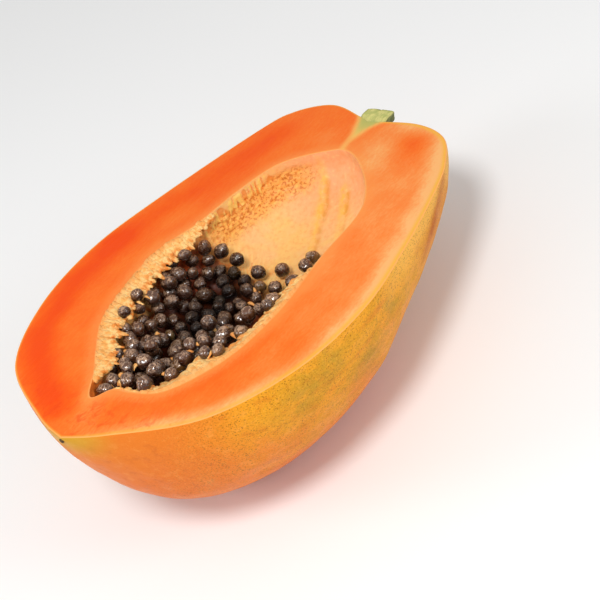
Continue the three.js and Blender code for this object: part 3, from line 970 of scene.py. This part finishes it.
def add_shred(spots, girths, across, ends):
    """A tapered, closed thread through the spots, with that half width at each."""
    first = len(verts)
    for spot, girth, end in zip(spots, girths, ends):
        for k in range(shred_sides):
            round_it = 2 * math.pi * k / shred_sides
            verts.append(spot + across * girth * math.cos(round_it)
                         + np.array([0, 0, 0.6 * girth * math.sin(round_it)]))
            end_parts.append(end)
    last = len(spots) - 1
    for a in range(first, first + last * shred_sides, shred_sides):
        for k in range(shred_sides):
            beside = a + (k + 1) % shred_sides
            faces.append([a + k, beside, beside + shred_sides, a + k + shred_sides])
    faces.append([first + k for k in reversed(range(shred_sides))])
    faces.append([first + last * shred_sides + k for k in range(shred_sides)])


for run in np.arange(0, lip_run[-1], shred_apart):
    run += picker.uniform(-0.4, 0.4)
    start, ahead, behind = (np.array([np.interp(r, lip_run, lip_line[:, i]) for i in (0, 1)])
                            for r in (run, run + 4.0, run - 4.0))
    along = unit(ahead - behind)
    inwards = np.array([-along[1], along[0]])
    angle = math.atan2(start[1], start[0] - cavity_middle[0])
    clump = 1 + 0.65 * noise.noise(Vector((run * 0.2, 0, 0))) + 0.4 * noise.noise(
        Vector((run * 0.45, 7, 0)))
    long = float(fringe_length(start[0], smooth(-0.05, 0.1, math.sin(angle)))) * clump
    long *= picker.uniform(0.9, 1.08)
    thick = picker.uniform(0.9, 1.9)
    sway = 0.6 * noise.noise(Vector((run * 0.3, 3, 0))) + picker.uniform(-0.2, 0.2)
    droop = picker.uniform(-1.1, 0.3)
    if long < shortest_shred:
        continue
    spots, girths, ends = [], [], []
    for step in range(shred_steps + 1):
        t = step / shred_steps
        went = -rooted + (long + rooted) * t
        flat = start + inwards * went + along * sway * max(went, 0) ** 2 / 9
        spot = np.array([flat[0], flat[1], 0.0])
        hang = fringe_hang(max(went, 0)) + droop * t
        spot[2] = max(float(lining_height(spot)) + 0.35, hang) if went > 0 else -1.6
        lump = 1 + 0.8 * noise.noise(Vector((run * 0.9, t * long * 0.6, 0))) * min(1, 2.5 * t)
        spots.append(spot)
        stout = max(thick, 1.6 - 3 * t)
        girths.append(stout * lump * (1 - 0.2 * t) * (0.5 if step == shred_steps else 1))
        ends.append(t)
    sideways = np.array([along[0], along[1], 0.0])
    add_shred(spots, girths, sideways, ends)
    # a broad flat shred under it closes the gaps
    under = [spot - np.array([0, 0, 0.25 + 0.5 * min(1, 2.5 * t)])
             for spot, t in zip(spots[:-2], ends)]
    add_shred(under, [2.1] * (len(under) - 1) + [1.2], sideways, ends[:-2])

# Most of the wisps are in the heap's lower end.
wisp_steps, most_wisps = 6, 120
wisp_nearest, wisp_furthest = 4.5, 8.2       # how far apart two seeds are that a wisp ties, in mm
shown = np.concatenate([taken, np.array(below[:seen_count])])
wisps = 0
for spot in shown[picker.permutation(len(shown))]:
    gaps = np.linalg.norm(shown - spot, axis=1)
    near = shown[(gaps > wisp_nearest) & (gaps < wisp_furthest)]
    low_end = 0.2 + 0.6 * smooth(80, 62, spot[0]) + 0.3 * smooth(-12, -22, spot[1])
    if not len(near) or wisps == most_wisps or hollow(spot) > 0.3:
        continue
    for other in near[:3]:
        if picker.random() > low_end:
            continue
        wisps += 1
        middle = (spot + other) / 2
        middle = middle + unit(eye - middle) * picker.uniform(0.2, 1.2)
        heading = picker.uniform(0, 2 * math.pi)
        way = np.array([math.cos(heading), math.sin(heading), 0.0])
        long, stain = picker.uniform(2.5, 5.5), picker.uniform(0.05, 0.35)
        bend = picker.uniform(-1.2, 1.2)
        parts = np.linspace(-1, 1, wisp_steps + 1)
        aside = np.array([-way[1], way[0], 0.0])
        add_shred([middle + way * long / 2 * part + (aside * bend - np.array([0, 0, 1.2])) * part**2
                   for part in parts],
                  [picker.uniform(0.6, 1.2) * (1 - 0.5 * part**2) for part in parts],
                  aside, [stain] * len(parts))
shreds = make_piece("papaya_fringe", to_row(np.array(verts)).tolist(), faces, shred,
                    end_part=end_parts)
face_outwards(shreds.data)
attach(shreds, "root")


# ---------------------------------------------------------------- the blossom's scar
# The dry brown button that the blossom left at the tip, grown fast to the skin.
scar_paint = Paint("blossom_scar", Roughness=0.8)
scar_spots = scar_paint.noise(scar_paint.own_place(), 0.0009, 3.0, 0.6)
scar_paint.laid = scar_paint.mix((scar_spots, 0.4, 0.62), (58, 36, 18), (112, 84, 42))
scar_paint.wear(Normal=scar_paint.bump(scar_spots, 0.0006, 0.8))
scar_middle, scar_size = (0.5, 0.9, -2.6), (0.9, 2.4, 1.9)
points, faces = round_ball(28, 16)
crags = [1 + 0.3 * noise.noise(Vector(p) * 5.0) + 0.12 * noise.noise(Vector(p) * 13.0)
         for p in points]
points = points * np.array(crags)[:, None] * np.array(scar_size) + np.array(scar_middle)
scar = make_piece("papaya_blossom_scar", to_row(points).tolist(), faces, scar_paint)
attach(scar, "root")


# ---------------------------------------------------------------- the stalk
# Half of the green stalk, cut through with the fruit: a flat pale face with its fibres on it, a
# darker ribbed rind round the back and a worn end.
stalk = Paint("green_stalk", Roughness=0.55, Specular_IOR_Level=0.3)
place = stalk.own_place()
threads = stalk.noise(place, 0.0009, 3.0, 0.65, stretch=(0.22, 1.0, 1.0))
blotch = stalk.noise(place, 0.0035, 3.0)
stalk.laid = stalk.mix((blotch, 0.4, 0.64), (216, 208, 128), (186, 188, 108))
stalk.over((150, 154, 80), (threads, 0.48, 0.68, 0.0, 0.4))
bark = stalk.mix((threads, 0.4, 0.64), (122, 128, 74), (84, 92, 46))
bark = stalk.mix((blotch, 0.5, 0.7, 0.0, 0.6), bark, (134, 118, 66))
stalk.over(bark, "rind")
stalk.wear(Normal=stalk.bump(threads, 0.0005, 0.7))

stalk_side = -1.8
stalk_line = [
    (212.0, 5.4), (216.0, 6.2), (219.2, 6.9), (220.6, 7.2), (222.4, 7.4), (224.5, 7.5), (226.8, 7.6),
    (228.4, 7.7), (229.3, 7.4), (229.8, 6.6), (230.0, 4.0), (229.8, 0.6),
]
round_half = 48                                   # steps round the rind, from edge to edge
flat_half = 20                                    # steps across the cut face
verts, rind_at = [], []
for at_x, radius in stalk_line:
    in_notch = float(smooth(224.5, 222.5, at_x))
    end_part = 1.0 if at_x > 229.6 else 0.0
    for step in range(round_half + flat_half):
        if step < round_half:
            turned = math.pi * step / round_half
            ribs = 1 + 0.03 * math.sin(9 * turned + 0.4 * at_x) * min(1, radius / 5)
            spot = (at_x, stalk_side + radius * math.cos(turned) * ribs,
                    -radius * math.sin(turned) * ribs)
            dark_part = 1.0 if step else 0.6
        else:
            part = (step - round_half) / flat_half
            across = -1 + 2 * part
            hollowed = 0.35 * math.exp(-(across / 0.25) ** 2)
            under = 0.05 + 0.6 * in_notch
            spot = (at_x, stalk_side + radius * across, -under - hollowed * (at_x > 222))
            dark_part = 0.6 if step == round_half else 0.0
        jolt = noise.noise(Vector(spot) * 0.6) * 0.25
        verts.append((spot[0] + jolt * (at_x > 226), spot[1] + jolt, min(spot[2] + jolt, -0.7 * in_notch)))
        rind_at.append(max(dark_part, 0.5 * end_part))
loop, loops = round_half + flat_half, len(stalk_line)
faces = [[i * loop + k, i * loop + (k + 1) % loop, (i + 1) * loop + (k + 1) % loop, (i + 1) * loop + k]
         for i in range(loops - 1) for k in range(loop)]
faces += [list(range(loop)), list(range((loops - 1) * loop, loops * loop))]
stub = make_piece("papaya_stalk", to_row(np.array(verts)).tolist(), faces, stalk, rind=rind_at)
face_outwards(stub.data)
bpy.context.view_layer.objects.active = stub
stub.select_set(True)
bpy.ops.object.shade_smooth_by_angle(angle=math.radians(40))
stub.select_set(False)
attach(stub, "root")
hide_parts("stem_stub")


# ---------------------------------------------------------------- the room
# A plain pale floor, a soft light from overhead, weaker ones from the near side and the far left,
# and pale air all round.
bpy.ops.mesh.primitive_plane_add(size=6.0)
floor = bpy.context.object
floor.name = "floor"
ground = Paint("pale_floor", Roughness=0.9)
ground.laid = ground.mix(ground.noise(ground.own_place(), 0.5), (246, 246, 246), (250, 250, 249))
ground.wear()
floor.data.materials.append(ground.material)

camera_data = bpy.data.cameras.new("camera")
camera_data.lens = lens
camera_data.sensor_width = sensor
camera_data.clip_start = 0.01
camera = bpy.data.objects.new("camera", camera_data)
bpy.context.collection.objects.link(camera)
to_right, to_up = (unit(to_row(way) - to_row(np.zeros(3))) for way in (eye_right, eye_up))
to_back = np.cross(to_right, to_up)
view = Matrix.Identity(4)
for i, column in enumerate((to_right, np.cross(to_back, to_right), to_back, to_row(eye))):
    for j in range(3):
        view[j][i] = column[j]
camera.matrix_world = view
bpy.context.scene.camera = camera


def lamp(name, place, size, power):
    """A round soft lamp that faces the fruit."""
    data = bpy.data.lights.new(name, "AREA")
    data.shape = "DISK"
    data.size = size
    data.energy = power
    light = bpy.data.objects.new(name, data)
    bpy.context.collection.objects.link(light)
    light.location = place
    light.rotation_euler = (Vector((0, 0, 0.05)) - Vector(place)).to_track_quat("-Z", "Y").to_euler()


lamp("key", (-0.45, -0.35, 1.0), 0.28, 6.6)
lamp("fill", (0.3, -0.95, 0.55), 0.5, 2.6)
lamp("side", (-0.7, 0.7, 0.6), 0.4, 2.4)
world = bpy.data.worlds.new("air")
world.use_nodes = True
world.node_tree.nodes["Background"].inputs["Color"].default_value = (1, 1, 1, 1)
world.node_tree.nodes["Background"].inputs["Strength"].default_value = 0.46
bpy.context.scene.world = world
bpy.context.scene.view_settings.view_transform = "Standard"
